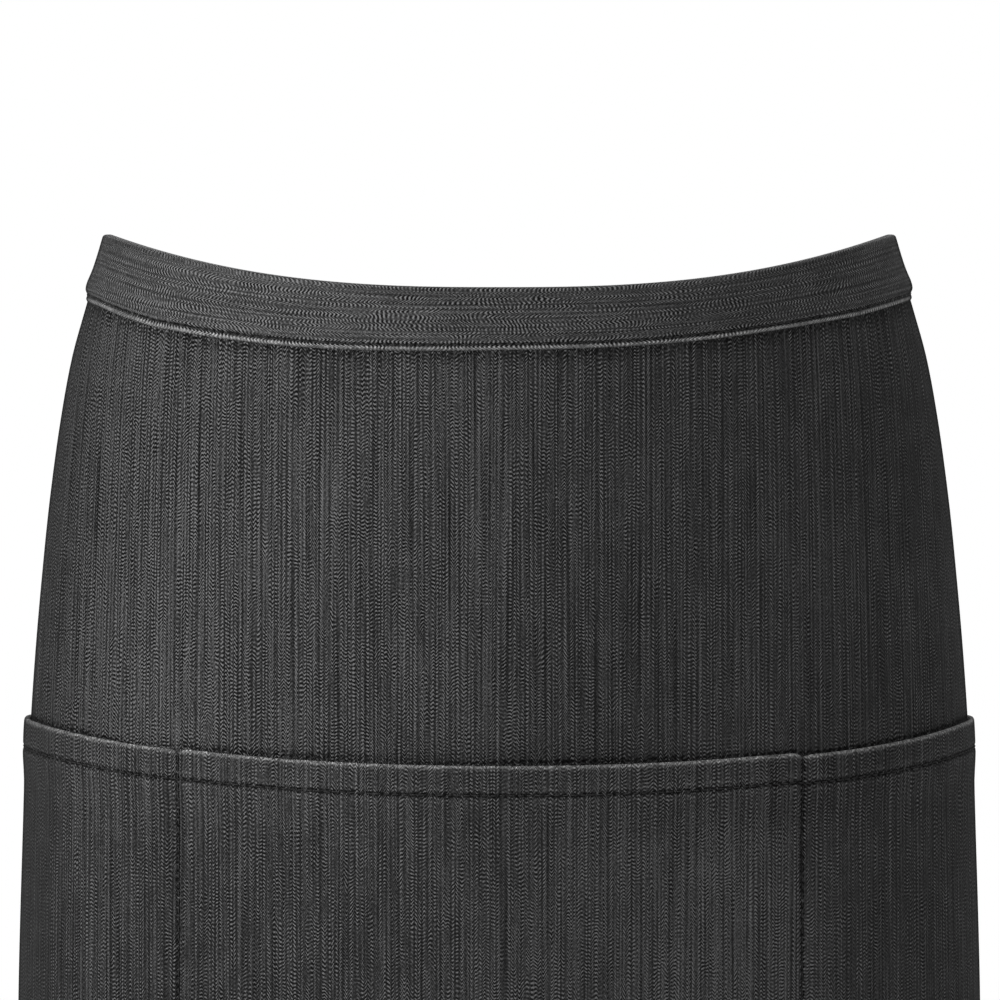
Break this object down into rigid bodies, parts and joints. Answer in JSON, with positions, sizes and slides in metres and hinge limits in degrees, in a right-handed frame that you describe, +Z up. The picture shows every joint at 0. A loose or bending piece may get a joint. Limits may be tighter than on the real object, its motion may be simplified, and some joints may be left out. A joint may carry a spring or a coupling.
{
  "type": "waist apron",
  "caption": "Denim waist apron in its worn form: folded waistband tied at the back, skirt wrapped round the hips, full-width patch pocket in three compartments.",
  "frame": {"origin": "middle of the waist loop, at half the height of the waistband's front", "axes": "+Z up, -Y towards the front of the apron, +X towards the right of a viewer who faces the front"},
  "size_m": [0.3861, 0.256, 0.516],
  "materials": {
    "band_denim": "washed black denim, waistband cut across the grain",
    "skirt_denim": "washed black denim, broken twill",
    "pocket_denim": "washed black denim, broken twill, rubbed at the folded edge",
    "tie_denim": "washed black denim, folded and stitched into a strap"
  },
  "bodies": {
    "root": {"waistband": "band_denim", "skirt": "skirt_denim", "pocket": "pocket_denim", "tie_left": "tie_denim", "tie_right": "tie_denim", "tie_knot": "tie_denim", "tie_end_left": "tie_denim", "tie_end_right": "tie_denim"}
  },
  "joints": []
}
